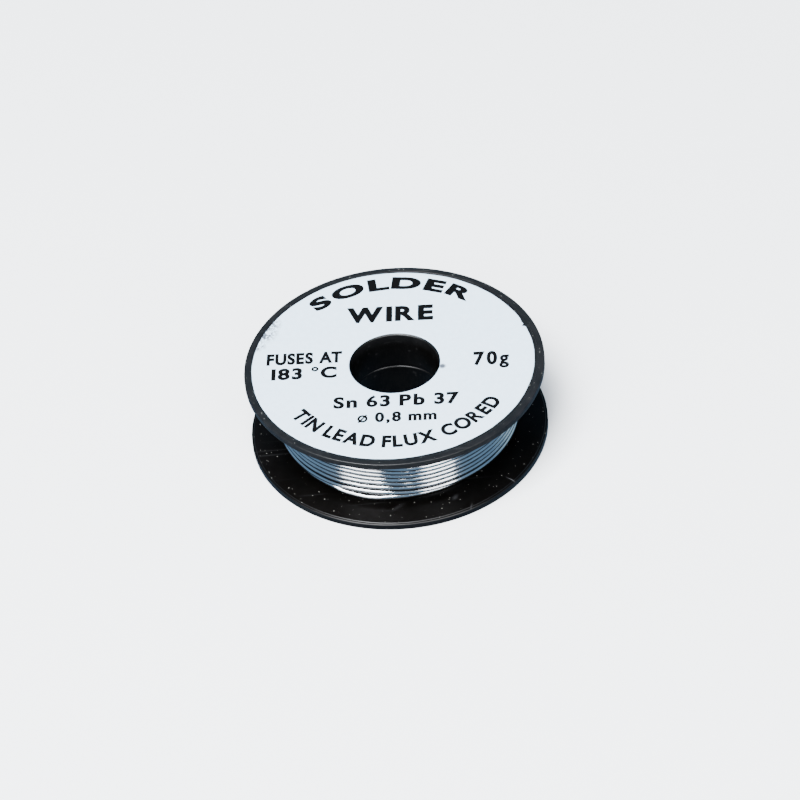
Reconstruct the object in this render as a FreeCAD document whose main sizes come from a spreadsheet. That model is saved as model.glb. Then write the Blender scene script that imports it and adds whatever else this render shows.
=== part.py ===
"""Solder wire spool: a two-part moulded reel, its round label and one length of flux-cored wire.

Millimetres. Z is the spool's axis, pointing from the plain flange up to the labelled one, and the
origin is the centre of the plain flange's outer face, on which the spool lies. The wire is wound clockwise,
seen from the label, in layers that run down and up between the flanges. Its turns lie flat, and twice in
each turn, at the front and at the back, a short jog carries it on by half a pitch. A ramp lifts the wire
from one layer to the next. The wire is divided there, and its stretches follow each other end to end.
"""

import FreeCAD
import Part
import Sketcher
import math
import os

doc = FreeCAD.newDocument("solder_spool")
sheet = doc.addObject("Spreadsheet::Sheet", "Sizes")
sub_parts = []

# Driving dimensions: alias, value, meaning. Millimetres, degrees or a plain count.
DRIVING = (
    ("flange_dia", 50.0, "outside diameter of both flanges"),
    ("spool_height", 14.4, "from one flange's outer face to the other's"),
    ("flange_thick", 1.2, "thickness of each flange"),
    ("bore_dia", 15.0, "spindle bore"),
    ("hub_dia", 18.0, "outside of the hub that the wire is wound on"),
    ("seam_height", 7.2, "seam between the halves, as seen inside the bore"),
    ("spigot_dia", 16.5, "joint between spigot and socket, mid-wall of the hub"),
    ("spigot_length", 2.0, "overlap of spigot and socket"),
    ("seam_chamfer", 0.15, "chamfer on each half at the seam in the bore"),
    ("mouth_chamfer", 0.3, "chamfer at the bore's mouths"),
    ("recess_dia", 47.8, "shallow label recess in each outer face"),
    ("recess_depth", 0.12, "depth of that recess"),
    ("rim_chamfer", 0.3, "chamfer on the rim's inner edge"),
    ("rim_round", 0.12, "rounding of the rim's outer edge"),
    ("ejector_dia", 3.0, "ejector pin witness marks"),
    ("ejector_depth", 0.08, "depth of those marks"),
    ("ejector_reach", 17.0, "radius that they stand on"),
    ("ejector_count", 4, "marks on each outer face"),
    ("label_dia", 47.1, "outside diameter of the label"),
    ("label_hole", 15.5, "hole in the label"),
    ("label_thick", 0.1, "paper with its adhesive"),
    ("label_shift_across", -0.2, "how far off centre the label is stuck, along X"),
    ("label_shift_back", 0.1, "and along Y"),
    ("wire_dia", 0.8, "solder wire"),
    ("core_dia", 0.25, "flux core in the wire"),
    ("layer_count", 14, "layers of wire"),
    ("layer_step", 0.805, "radial distance from one layer to the next"),
    ("hub_gap", 0.02, "clearance between hub and first layer"),
    ("side_gap", 0.02, "clearance between wire and flange"),
    ("layer_jogs", 27, "half-pitch jogs in a full layer"),
    ("short_jogs", 25, "jogs in the last layer but one, which stops a turn above the plain flange"),
    ("last_jogs", 23, "jogs in the outermost layer"),
    ("last_pitch", 0.87, "rise of each of its turns"),
    ("last_turns", 11.4, "turns in the outermost layer"),
    ("first_azimuth", 130.0, "where the first layer starts, about Z from +X"),
    ("jog_azimuth", -95.0, "middle of the front jogs; the back ones are opposite"),
    ("jog_angle", 30.0, "arc over which a jog is made"),
    ("ramp_angle", 40.0, "arc over which the wire climbs to the next layer"),
    ("join_gap", 0.06, "gap left where one stretch of wire follows another"),
    ("end_arc", 60.0, "arc of the wire's outer end beyond the last full turn"),
    ("start_hole_dia", 1.8, "hole under the label that anchors the inner end"),
    ("start_bend", 1.0, "bend radius of the inner end"),
    ("start_depth", 0.3, "depth of the inner end's tip below the outer face"),
)

# Sizes that follow from the driving ones, as formulas of the sheet.
DERIVED = (
    ("wire_rad", "=wire_dia / 2"),
    ("first_rad", "=hub_dia / 2 + hub_gap + wire_rad"),
    ("last_rad", "=first_rad + (layer_count - 1) * layer_step"),
    ("low_wire", "=flange_thick + side_gap + wire_rad"),
    ("high_wire", "=spool_height - low_wire"),
    ("layer_turns", "=layer_jogs / 2 - ramp_angle / 360"),
    ("short_turns", "=short_jogs / 2 - ramp_angle / 360"),
    ("layer_pitch", "=2 * (high_wire - low_wire) / layer_jogs"),
    ("last_foot", "=high_wire - short_jogs * layer_pitch / 2"),
    ("last_top", "=last_foot + last_jogs * last_pitch / 2"),
    ("label_hub", "=spool_height - seam_height - spigot_length"),
    ("label_spigot", "=spool_height - seam_height"),
    ("plain_hub", "=seam_height + spigot_length"),
    ("ramp_shift", "=layer_step / (2 * sin(ramp_angle / 2 * 1deg))"),
    ("start_drop", "=spool_height - start_depth - high_wire - start_bend"),
    ("start_reach", "=sqrt(first_rad ^ 2 + start_bend ^ 2)"),
)

# The start hole stands one bend radius behind the point where the first layer begins.
START_HOLE_AZIMUTH = "@first_azimuth * 1 deg + atan(@start_bend / @first_rad)"


def fill_sheet():
    """Writes every size into the sheet, one row each, and names its cell."""
    row = 1
    for alias, value, meaning in DRIVING:
        sheet.set(f"A{row}", meaning)
        sheet.set(f"B{row}", str(value))
        sheet.setAlias(f"B{row}", alias)
        row += 1
    for alias, formula in DERIVED:
        sheet.set(f"A{row}", alias)
        sheet.set(f"B{row}", formula)
        sheet.setAlias(f"B{row}", alias)
        row += 1
    doc.recompute()


def size(alias):
    """The number in a named cell."""
    return float(sheet.get(alias))


def bind(thing, **properties):
    """Ties properties to formulas on the sheet. Two underscores stand for a dot in a property's path."""
    for name, formula in properties.items():
        for alias in sorted((a for a, *_ in DRIVING + DERIVED), key=len, reverse=True):
            formula = formula.replace(f"@{alias}", f"Sizes.{alias}")
        thing.setExpression(name.replace("__", "."), formula)
    return thing


def keep(thing, label):
    """Counts an object as a sub-part and gives it the name of its file."""
    thing.Label = label
    sub_parts.append(thing)
    return thing


# ---- features of a PartDesign body ------------------------------------------------------------------------


def plane(body, role):
    """One of the body's own origin planes."""
    return next(f for f in body.Origin.OriginFeatures if f.Role == role)


def circle_sketch(body, name, diameter, height="0 mm", across="0 mm", back="0 mm"):
    """A sketch of one circle at a height above the body's XY plane, sized and placed from the sheet."""
    sketch = body.newObject("Sketcher::SketchObject", name)
    sketch.AttachmentSupport = [(plane(body, "XY_Plane"), "")]
    sketch.MapMode = "FlatFace"
    bind(sketch, AttachmentOffset__Base__x=across, AttachmentOffset__Base__y=back,
         AttachmentOffset__Base__z=height)
    sketch.addGeometry(Part.Circle(FreeCAD.Vector(0, 0, 0), FreeCAD.Vector(0, 0, 1), 1.0), False)
    sketch.addConstraint(Sketcher.Constraint("Coincident", 0, 3, -1, 1))
    sketch.addConstraint(Sketcher.Constraint("Diameter", 0, 2.0))
    sketch.renameConstraint(1, "Across")
    bind(sketch, Constraints__Across=diameter)
    return sketch


def pad(body, name, sketch, length):
    """Adds material upwards from a sketch."""
    feature = body.newObject("PartDesign::Pad", name)
    feature.Profile = sketch
    bind(feature, Length=length)
    doc.recompute()
    return feature


def pocket(body, name, sketch, length):
    """Cuts upwards from a sketch, and checks that something was cut."""
    before = body.Shape.Volume
    feature = body.newObject("PartDesign::Pocket", name)
    feature.Profile = sketch
    feature.Reversed = True
    bind(feature, Length=length)
    doc.recompute()
    if body.Shape.Volume >= before - 1e-6:
        raise RuntimeError(f"{name} cut nothing")
    return feature


def circles(shape, radius, height):
    """Names of the shape's circular edges with that radius at that height."""
    found = []
    for number, edge in enumerate(shape.Edges, 1):
        curve = edge.Curve
        if isinstance(curve, Part.Circle) and abs(curve.Radius - radius) < 1e-4:
            if abs(curve.Center.z - height) < 1e-4:
                found.append(f"Edge{number}")
    if not found:
        raise RuntimeError(f"no circle of radius {radius} at height {height}")
    return found


def edge_break(body, kind, name, radius, height, amount):
    """A chamfer or fillet on one ring edge of the body."""
    base = body.Tip
    names = circles(base.Shape, radius, height)
    feature = body.newObject(f"PartDesign::{kind}", name)
    feature.Base = (base, names)
    bind(feature, **{"Size" if kind == "Chamfer" else "Radius": amount})
    doc.recompute()
    return feature


# ---- the two mouldings of the reel ------------------------------------------------------------------------


def half_reel(label, hub_length, male):
    """One half of the reel, outer face down: flange and half hub in one moulding.

    The halves meet in the hub. The male half has the inner half of the hub's wall standing out as a
    spigot, and the female half has it cut away as a socket. Both bores end in a small chamfer there.
    """
    body = doc.addObject("PartDesign::Body", label + "_body")
    pad(body, label + "_flange", circle_sketch(body, label + "_flange_ring", "@flange_dia"), "@flange_thick")
    pad(body, label + "_hub", circle_sketch(body, label + "_hub_ring", "@hub_dia"), hub_length)
    if male:
        pad(body, label + "_spigot", circle_sketch(body, label + "_spigot_ring", "@spigot_dia"),
            "@label_spigot")
        seam = size("label_spigot")
    else:
        pocket(body, label + "_socket",
               circle_sketch(body, label + "_socket_ring", "@spigot_dia", "@seam_height * 1 mm"),
               "@spigot_length")
        seam = size("seam_height")
    pocket(body, label + "_bore", circle_sketch(body, label + "_bore_ring", "@bore_dia"), "@spool_height")
    pocket(body, label + "_recess", circle_sketch(body, label + "_recess_ring", "@recess_dia"),
           "@recess_depth")
    edge_break(body, "Chamfer", label + "_seam_edge", size("bore_dia") / 2, seam, "@seam_chamfer")
    edge_break(body, "Chamfer", label + "_mouth_edge", size("bore_dia") / 2, size("recess_depth"),
               "@mouth_chamfer")
    edge_break(body, "Chamfer", label + "_rim_inner_edge", size("flange_dia") / 2, size("flange_thick"),
               "@rim_chamfer")
    edge_break(body, "Fillet", label + "_rim_outer_edge", size("flange_dia") / 2, 0.0, "@rim_round")
    mark = pocket(body, label + "_ejector_mark",
                  circle_sketch(body, label + "_ejector_ring", "@ejector_dia", "@recess_depth * 1 mm",
                                "@ejector_reach * 1 mm"),
                  "@ejector_depth")
    marks = body.newObject("PartDesign::PolarPattern", label + "_ejector_marks")
    marks.Originals = [mark]
    marks.Axis = (next(f for f in body.Origin.OriginFeatures if f.Role == "Z_Axis"), [""])
    marks.Angle = 360
    bind(marks, Occurrences="@ejector_count")
    body.Tip = marks
    doc.recompute()
    return keep(body, label)


def label_side_half():
    """The half under the label, turned over about X, so its outer face is the spool's top.

    A hole beside the hub takes the wire's inner end, and the label covers it.
    """
    body = half_reel("label_side_half", "@label_hub", male=True)
    angle = f"({START_HOLE_AZIMUTH})"
    hole = circle_sketch(body, "start_hole_ring", "@start_hole_dia", "0 mm",
                         f"@start_reach * cos{angle} * 1 mm", f"-1 * @start_reach * sin{angle} * 1 mm")
    body.Tip = pocket(body, "start_hole", hole, "@flange_thick")
    body.Placement.Rotation.Axis = FreeCAD.Vector(1, 0, 0)
    bind(body, Placement__Base__z="@spool_height * 1 mm", Placement__Rotation__Angle="180 deg")
    return body


def plain_side_half():
    """The half that the spool lies on."""
    return half_reel("plain_side_half", "@plain_hub", male=False)


def front_label():
    """The round paper label in the recess of the labelled face, stuck on a little off centre."""
    body = doc.addObject("PartDesign::Body", "front_label_body")
    pad(body, "label_disc", circle_sketch(body, "label_outline", "@label_dia"), "@label_thick")
    back = {"across": "-1 * @label_shift_across * 1 mm", "back": "-1 * @label_shift_back * 1 mm"}
    pocket(body, "label_centre", circle_sketch(body, "label_centre_ring", "@label_hole", **back),
           "@label_thick")
    bind(body, Placement__Base__x="@label_shift_across * 1 mm",
         Placement__Base__y="@label_shift_back * 1 mm",
         Placement__Base__z="(@spool_height - @recess_depth) * 1 mm")
    return keep(body, "front_label")


# ---- the wire ---------------------------------------------------------------------------------------------


def turns_of(layer):
    """The name of the size that holds a layer's number of turns."""
    special = {int(size("layer_count")): "last_turns", int(size("layer_count")) - 1: "short_turns"}
    return special.get(layer, "layer_turns")


def start_of(layer):
    """The azimuth where a layer begins, as a formula. The wire runs clockwise, so azimuths go down."""
    return "@first_azimuth" if layer == 1 else f"({finish_of(layer - 1)} - @ramp_angle)"


def finish_of(layer):
    """The azimuth where a layer ends, as a formula."""
    return f"({start_of(layer)} - 360 * @{turns_of(layer)})"


def rises(layer):
    """Odd layers come down from the labelled flange, and even ones rise from the plain one."""
    return layer % 2 == 0


def foot_of(layer):
    """The name of the size that holds the height of a layer's lower end."""
    return "low_wire" if turns_of(layer) == "layer_turns" else "last_foot"


def pitch_of(layer):
    """The name of the size that holds a layer's pitch."""
    return "last_pitch" if turns_of(layer) == "last_turns" else "layer_pitch"


def radius_of(layer):
    """The radius of a layer's centre line."""
    return size("first_rad") + (layer - 1) * size("layer_step")


def start_angle(layer):
    """The azimuth where a layer begins, as a number."""
    turns = sum(size(turns_of(inner)) for inner in range(1, layer))
    return size("first_azimuth") - 360 * turns - (layer - 1) * size("ramp_angle")


def on_layer(radius, azimuth, height):
    """A point on a layer's cylinder, and the level direction in which the wire runs through it."""
    turn = math.radians(azimuth)
    point = FreeCAD.Vector(radius * math.cos(turn), radius * math.sin(turn), height)
    return point, FreeCAD.Vector(math.sin(turn), -math.cos(turn), 0)


def arc_from(start, heading, end):
    """Start, middle and end of the arc that leaves one point in a given direction and ends at another."""
    chord = end - start
    aside = heading - chord * (heading.dot(chord) / chord.dot(chord))
    bulge = chord.Length / 2 * math.tan(heading.getAngle(chord) / 2)
    return start, start + chord / 2 + aside.normalize() * bulge, end


def jog(radius, before, after):
    """Two arcs that leave one flat turn level and join the next one level, with no kink between them."""
    start, heading_in = on_layer(radius, *before)
    end, heading_out = on_layer(radius, *after)
    span = end - start
    along = span.dot(heading_in + heading_out)
    spread = 2 * (1 - heading_in.dot(heading_out))
    reach = (math.sqrt(along ** 2 + spread * span.dot(span)) - along) / spread
    middle = (start + end + (heading_in - heading_out) * reach) / 2
    arcs = (arc_from(start, heading_in, middle), reversed(arc_from(end, -heading_out, middle)))
    return [Part.Arc(*points).toShape() for points in arcs]


def layer_line(layer):
    """A layer's centre line: flat arcs of nearly half a turn, joined by jogs of two arcs each."""
    radius = radius_of(layer)
    azimuth = start_angle(layer)
    finish = azimuth - 360 * size(turns_of(layer))
    jogs = int(size(turns_of(layer).replace("turns", "jogs")))
    climb = size(pitch_of(layer)) / 2 * (1 if rises(layer) else -1)
    height = size(foot_of(layer)) if rises(layer) else size("high_wire")
    half = size("jog_angle") / 2
    centre = size("jog_azimuth") + 180 * math.floor((azimuth - size("jog_azimuth")) / 180)

    def flat(begin, end):
        points = [on_layer(radius, turn, height)[0] for turn in (begin, (begin + end) / 2, end)]
        return Part.Arc(*points).toShape()

    edges = []
    for _ in range(jogs):
        edges.append(flat(azimuth, centre + half))
        edges += jog(radius, (centre + half, height), (centre - half, height + climb))
        azimuth, height, centre = centre - half, height + climb, centre - 180
    if azimuth <= finish:
        raise RuntimeError(f"layer {layer} has too many jogs for its turns")
    edges.append(flat(azimuth, finish))
    return Part.Wire(edges)


def wire_layers():
    """All the layers, from the hub outwards: round sections swept along their centre lines."""
    for layer in range(1, int(size("layer_count")) + 1):
        name = f"layer_{layer:02d}"
        line = doc.addObject("Part::Feature", name + "_line")
        line.Shape = layer_line(layer)
        section = doc.addObject("Part::Circle", name + "_section")
        turn = math.radians(start_angle(layer))
        radius, top = radius_of(layer), size(foot_of(layer)) if rises(layer) else size("high_wire")
        section.Placement = FreeCAD.Placement(
            FreeCAD.Vector(radius * math.cos(turn), radius * math.sin(turn), top),
            FreeCAD.Rotation(FreeCAD.Vector(0, 0, 1), FreeCAD.Vector(-math.sin(turn), math.cos(turn), 0)))
        bind(section, Radius="@wire_rad")
        sweep = doc.addObject("Part::Sweep", name + "_sweep")
        sweep.Sections = [section]
        sweep.Spine = (line, [])
        sweep.Solid = True
        sweep.Transition = "Transformed"
        keep(sweep, f"wire_layer_{layer:02d}")


def layer_ramps():
    """The short climbs from layer to layer, each an arc of a ring whose centre is off the axis.

    The centre is moved square to the middle of the climb. The arc then starts at one layer's radius and
    ends at the next one's, with its middle half a step out.
    """
    ramps = []
    for layer in range(1, int(size("layer_count"))):
        ramp = doc.addObject("Part::Torus", f"ramp_{layer:02d}")
        inner = f"(@first_rad + {layer - 1} * @layer_step)"
        middle = f"(({finish_of(layer)} - @ramp_angle / 2) * 1 deg)"
        lead = f"atan(@ramp_shift * cos(@ramp_angle / 2 * 1 deg) / ({inner} + @layer_step / 2))"
        gap = f"@join_gap / {inner} * 1 rad"
        ramp.Placement.Rotation.Axis = FreeCAD.Vector(0, 0, 1)
        bind(ramp, Radius1=f"sqrt({inner} ^ 2 + @ramp_shift ^ 2 + {inner} * @layer_step) * 1 mm",
             Radius2="@wire_rad",
             Angle3=f"@ramp_angle * 1 deg - 2 * {gap}",
             Placement__Rotation__Angle=f"({finish_of(layer)} - @ramp_angle) * 1 deg + {lead} + {gap}",
             Placement__Base__x=f"@ramp_shift * sin{middle} * 1 mm",
             Placement__Base__y=f"-1 * @ramp_shift * cos{middle} * 1 mm",
             Placement__Base__z=f"@{'high_wire' if rises(layer) else foot_of(layer)} * 1 mm")
        ramps.append(ramp)
    group = doc.addObject("Part::Compound", "ramps")
    group.Links = ramps
    keep(group, "wire_layer_ramps")


def outer_end():
    """The wire's free end, the last stretch of the outermost layer: a tube of alloy with its flux core."""
    finish = finish_of(int(size("layer_count")))
    gap = "@join_gap / @last_rad * 1 rad"
    made = {}
    for name, thickness in (("skin", "@wire_dia"), ("bore", "@core_dia"), ("flux", "@core_dia")):
        made[name] = doc.addObject("Part::Torus", "outer_" + name)
        made[name].Placement.Rotation.Axis = FreeCAD.Vector(0, 0, 1)
        bind(made[name], Radius1="@last_rad", Radius2=f"{thickness} / 2", Angle3="@end_arc * 1 deg",
             Placement__Rotation__Angle=f"({finish} - @end_arc) * 1 deg - {gap}",
             Placement__Base__z="@last_top * 1 mm")
    tube = doc.addObject("Part::Cut", "outer_tube")
    tube.Base = made["skin"]
    tube.Tool = made["bore"]
    keep(tube, "wire_outer_end")
    keep(made["flux"], "flux_core_outer_end")


def hooked_sketch(body, name):
    """The inner end's centre line: down out of the start hole, then bent over into the first turn."""
    sketch = body.newObject("Sketcher::SketchObject", name)
    sketch.AttachmentSupport = [(plane(body, "XZ_Plane"), "")]
    sketch.MapMode = "FlatFace"
    bend = size("start_bend")
    drop = size("start_drop")
    centre = FreeCAD.Vector(bend, -drop, 0)
    sketch.addGeometry(Part.LineSegment(FreeCAD.Vector(0, 0, 0), FreeCAD.Vector(0, -drop, 0)), False)
    sketch.addGeometry(Part.ArcOfCircle(Part.Circle(centre, FreeCAD.Vector(0, 0, 1), bend),
                                        math.pi, 3 * math.pi / 2), False)
    for rule in (("Coincident", 0, 1, -1, 1), ("Vertical", 0), ("Tangent", 0, 2, 1, 1),
                 ("Vertical", 1, 2, 1, 3)):
        sketch.addConstraint(Sketcher.Constraint(*rule))
    sketch.addConstraint(Sketcher.Constraint("DistanceY", 0, 2, 0, 1, drop))
    sketch.renameConstraint(4, "Drop")
    sketch.addConstraint(Sketcher.Constraint("Radius", 1, bend))
    sketch.renameConstraint(5, "Bend")
    bind(sketch, Constraints__Drop="@start_drop", Constraints__Bend="@start_bend")
    return sketch


def hooked_end(label, outside, inside=None):
    """A hooked length of tube or rod at the wire's inner end."""
    body = doc.addObject("PartDesign::Body", label + "_body")
    for kind, section in (("Additive", outside), ("Subtractive", inside)):
        if section is None:
            continue
        pipe = body.newObject(f"PartDesign::{kind}Pipe", f"{label}_{kind.lower()}")
        pipe.Profile = circle_sketch(body, f"{label}_{kind.lower()}_section", section)
        pipe.Spine = hooked_sketch(body, f"{label}_{kind.lower()}_line")
        body.Tip = pipe
        doc.recompute()
    gap = "@join_gap / @start_reach * 1 rad"
    angle = f"({START_HOLE_AZIMUTH} + {gap})"
    body.Placement.Rotation.Axis = FreeCAD.Vector(0, 0, 1)
    bind(body, Placement__Rotation__Angle=f"(@first_azimuth - 90) * 1 deg + {gap}",
         Placement__Base__x=f"@start_reach * cos{angle} * 1 mm",
         Placement__Base__y=f"@start_reach * sin{angle} * 1 mm",
         Placement__Base__z="(@spool_height - @start_depth) * 1 mm")
    return keep(body, label)


# ---- build, check and write -------------------------------------------------------------------------------


def check():
    """Stops if anything failed to compute or a sub-part isn't a valid solid."""
    for thing in doc.Objects:
        if "Invalid" in thing.State or "Error" in thing.State:
            raise RuntimeError(f"{thing.Name} did not compute: {thing.State}")
    for part in sub_parts:
        if part.Shape.isNull() or not part.Shape.isValid() or not part.Shape.Solids:
            raise RuntimeError(f"{part.Label} is not a valid solid")
    for layer in range(1, int(size("layer_count")) + 1):
        length = doc.getObject(f"layer_{layer:02d}_line").Shape.Length
        wanted = length * math.pi * size("wire_rad") ** 2
        made = doc.getObject(f"layer_{layer:02d}_sweep").Shape.Volume
        if abs(made / wanted - 1) > 0.005:
            raise RuntimeError(f"layer {layer} has volume {made:.1f}, not {wanted:.1f}")


def write():
    """One STEP file for each sub-part."""
    os.makedirs("parts", exist_ok=True)
    for part in sub_parts:
        part.Shape.exportStep(f"parts/{part.Label}.step")


fill_sheet()
label_side_half()
plain_side_half()
front_label()
wire_layers()
layer_ramps()
outer_end()
hooked_end("wire_inner_end", "@wire_dia", "@core_dia")
hooked_end("flux_core_inner_end", "@core_dia")
doc.recompute()
check()
write()
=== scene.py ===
"""Solder wire spool: the looks of a small black plastic reel, its paper label and its wound solder wire.

Metres. Z is the spool's axis, with the label on top, and the spool lies on the plain flange at the origin.
"""

import math
import random

import bmesh
import bpy
from mathutils import Matrix, Vector


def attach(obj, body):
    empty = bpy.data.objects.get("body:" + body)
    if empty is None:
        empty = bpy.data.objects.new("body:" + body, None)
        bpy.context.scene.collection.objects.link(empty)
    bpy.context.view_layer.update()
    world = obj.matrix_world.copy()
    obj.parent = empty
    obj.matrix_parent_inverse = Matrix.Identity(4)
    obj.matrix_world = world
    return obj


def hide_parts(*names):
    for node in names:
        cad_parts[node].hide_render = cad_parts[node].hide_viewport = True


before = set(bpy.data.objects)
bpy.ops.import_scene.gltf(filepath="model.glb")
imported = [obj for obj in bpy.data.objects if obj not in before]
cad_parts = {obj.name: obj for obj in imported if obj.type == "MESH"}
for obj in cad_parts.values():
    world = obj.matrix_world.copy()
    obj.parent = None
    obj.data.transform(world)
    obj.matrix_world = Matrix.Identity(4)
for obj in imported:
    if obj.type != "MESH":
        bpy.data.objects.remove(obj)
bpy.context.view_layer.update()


# ---- the camera -------------------------------------------------------------------------------------------
# A long lens from the front and well above, turned a little about its own line of sight. The spool lies in the
# middle of the view and takes up a good third of its width.

camera = bpy.data.objects.new("camera", bpy.data.cameras.new("camera"))
bpy.context.scene.collection.objects.link(camera)
camera.data.lens = 157.5
camera.data.sensor_width = 36.0
camera.data.clip_start = 0.01
camera.data.clip_end = 10.0
camera.matrix_world = Matrix((
    (0.99576, 0.09197, 0.0, 0.000426),
    (-0.06071, 0.65730, -0.7512, -0.440297),
    (-0.06909, 0.74801, 0.6601, 0.393045),
    (0.0, 0.0, 0.0, 1.0),
))
bpy.context.scene.camera = camera


# ---- the reel ---------------------------------------------------------------------------------------------
# Two black mouldings of glossy polystyrene, each a flange with half of the hub. They are pressed together
# for good by a spigot and socket in the hub's wall, and show as a fine ring halfway down the bore.

# sizes in millimetres, round things by their radius
MM = 0.001
FLANGE = 25.0
HEIGHT = 14.4
WALL = 1.2
BORE = 7.5
HUB = 9.0
SEAM = 7.2
JOINT = 8.25
JOINT_LAP = 2.0
RECESS = 23.9
RECESS_DEPTH = 0.12
EJECTOR_AT = 17.0
EJECTOR = 1.5
EJECTOR_DEPTH = 0.08
START_HOLE = 0.9
# the wire starts at this reach and azimuth, and its hole in the flange is a little before that
FIRST = 9.42
FIRST_AZIMUTH = 130.0
BEFORE_START = 1.0
# marks on the lower flange, the scratch's two marks and three patches of painted highlight: x, y, turn in degrees,
# half length, half width, strength
SCRATCH_AND_PAINTED_HIGHLIGHTS = ((17.5, -16.7, -41.0, 1.25, 0.09, 0.9), (18.3, -17.4, -41.0, 0.22, 0.16, 1.0),
          (8.0, -19.7, 60.0, 0.9, 0.5, 0.16), (10.4, -22.4, 80.0, 1.3, 0.12, 0.20),
          (-1.5, -20.8, 35.0, 1.6, 0.5, 0.08))
# edges that turn by more than this stay sharp
SHARP_ABOVE = math.radians(35.0)
# how finely rounded corners, turned shapes and round tools are divided
CORNER_STEPS = 5
AROUND = 288
PEG_SIDES = 40


def nodes_of(material):
    """The node tree of a material, and its surface shader."""
    material.use_nodes = True
    tree = material.node_tree
    return tree, next(n for n in tree.nodes if n.type == "BSDF_PRINCIPLED")


def add(tree, kind, *links, **values):
    """A node with its values set and its inputs linked. A link is an input's number or name, and an output."""
    node = tree.nodes.new(kind)
    for name, value in values.items():
        if hasattr(node, name):
            setattr(node, name, value)
        else:
            node.inputs[name.replace("_", " ")].default_value = value
    for socket, source in links:
        tree.links.new(source, node.inputs[socket])
    return node


def ramp(tree, source, *stops):
    """A colour ramp over a value, from (place, grey or colour) stops."""
    node = add(tree, "ShaderNodeValToRGB", (0, source))
    while len(node.color_ramp.elements) < len(stops):
        node.color_ramp.elements.new(0.5)
    for element, (place, shade) in zip(node.color_ramp.elements, stops):
        element.position = place
        element.color = (*shade, 1.0) if isinstance(shade, tuple) else (shade, shade, shade, 1.0)
    return node.outputs[0]


def mix(tree, factor, first, second):
    """One colour laid over another. Each is a socket or a plain colour, and so is the factor."""
    node = add(tree, "ShaderNodeMix", data_type="RGBA")
    for socket, value in ((0, factor), (6, first), (7, second)):
        if isinstance(value, bpy.types.NodeSocket):
            tree.links.new(value, node.inputs[socket])
        else:
            node.inputs[socket].default_value = value if socket == 0 else (*value, 1.0)
    return node.outputs[2]


def maths(tree, operation, *values, clamp=False):
    """One step of arithmetic on sockets and plain numbers."""
    node = add(tree, "ShaderNodeMath", operation=operation, use_clamp=clamp)
    for slot, value in enumerate(values):
        if isinstance(value, bpy.types.NodeSocket):
            tree.links.new(value, node.inputs[slot])
        else:
            node.inputs[slot].default_value = value
    return node.outputs[0]


def place_in_mm(tree):
    """The point on the piece, in millimetres."""
    where = add(tree, "ShaderNodeTexCoord")
    return add(tree, "ShaderNodeMapping", (0, where.outputs["Object"]), Scale=(1 / MM, 1 / MM, 1 / MM)).outputs[0]


def facing_up(tree):
    """How far the surface faces up: one on top, nought on an upright wall, less than nought underneath."""
    where = add(tree, "ShaderNodeTexCoord")
    return add(tree, "ShaderNodeSeparateXYZ", (0, where.outputs["Normal"])).outputs[2]


def round_the_axis(tree):
    """Distance from the spool's axis in millimetres, angle round it in turns, and height in millimetres."""
    parts = add(tree, "ShaderNodeSeparateXYZ", (0, place_in_mm(tree)))
    x, y, z = parts.outputs
    reach = maths(tree, "SQRT", maths(tree, "ADD", maths(tree, "MULTIPLY", x, x), maths(tree, "MULTIPLY", y, y)))
    angle = maths(tree, "DIVIDE", maths(tree, "ARCTAN2", y, x), math.tau)
    return reach, angle, z


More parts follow.
